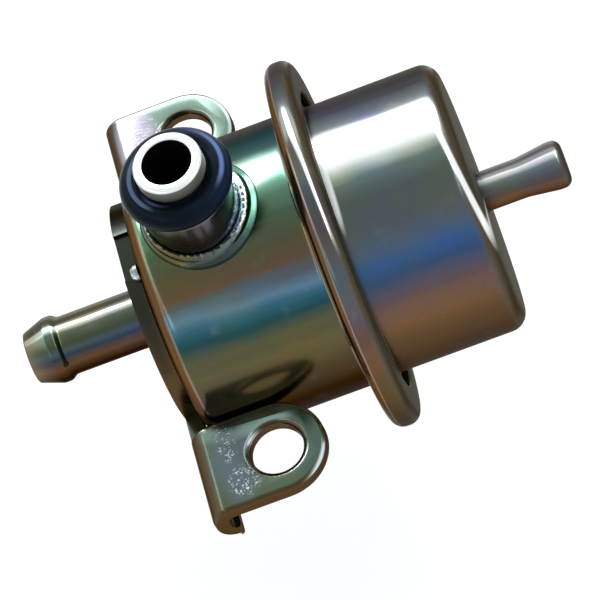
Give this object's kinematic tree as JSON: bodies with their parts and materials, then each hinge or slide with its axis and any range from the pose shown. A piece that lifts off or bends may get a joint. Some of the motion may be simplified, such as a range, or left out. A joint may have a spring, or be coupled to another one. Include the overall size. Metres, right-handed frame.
{
  "type": "fuel pressure regulator",
  "caption": "Vacuum-referenced diaphragm fuel pressure regulator with a rolled rim, a sealed inlet stub, a return pipe, a vacuum nipple and a folded mounting bracket with ears.",
  "frame": {"origin": "midway between the two ear holes, on the front face of the ears, which lies on the main axis", "axes": "+X along the main axis from the return pipe to the vacuum nipple; +Z along the inlet stub, the way the ears are bolted; +Y across the ears"},
  "size_m": [0.074, 0.0634, 0.0558],
  "materials": {
    "passivated_steel": "yellow-passivated zinc plate, glossy, with green, blue and violet tints",
    "bright_steel": "turned and plated, silver grey",
    "weld_metal": "rippled weld and braze under the plating",
    "seal_rubber": "smooth moulded rubber, blue black",
    "diaphragm_rubber": "fabric-backed sheet rubber",
    "spring_steel": "drawn wire",
    "bare_steel": "machined or pressed, bare"
  },
  "bodies": {
    "housing": {"fuel_housing": "passivated_steel", "spring_housing": "passivated_steel", "mounting_bracket": "passivated_steel", "bracket_tack_weld_1": "weld_metal", "bracket_tack_weld_2": "weld_metal", "bracket_tack_weld_3": "weld_metal", "return_pipe": "passivated_steel", "return_pipe_braze": "weld_metal", "inlet_stub": "bright_steel", "inlet_weld_bead": "weld_metal", "inlet_o_ring": "seal_rubber", "vacuum_nipple": "passivated_steel", "valve_seat": "bare_steel", "diaphragm": "diaphragm_rubber", "main_spring": "spring_steel", "spring_end_seat": "bare_steel"},
    "valve": {"diaphragm_plate": "bare_steel", "spring_plate": "bare_steel", "valve_holder": "bare_steel", "ball_retainer": "bare_steel", "ball_spring": "spring_steel"},
    "ball": {"valve_ball": "bare_steel", "valve_disc": "bare_steel"}
  },
  "joints": [
    {"name": "valve_lift", "type": "slide", "parent": "housing", "child": "valve", "axis": [1, 0, 0], "range_m": [0, 0.0008], "stiffness_N_per_m": 8700, "deforming": ["main_spring", "diaphragm"]},
    {"name": "ball_float", "type": "slide", "parent": "valve", "child": "ball", "axis": [1, 0, 0], "range_m": [0, 0.00025], "stiffness_N_per_m": 600, "deforming": ["ball_spring"]}
  ]
}
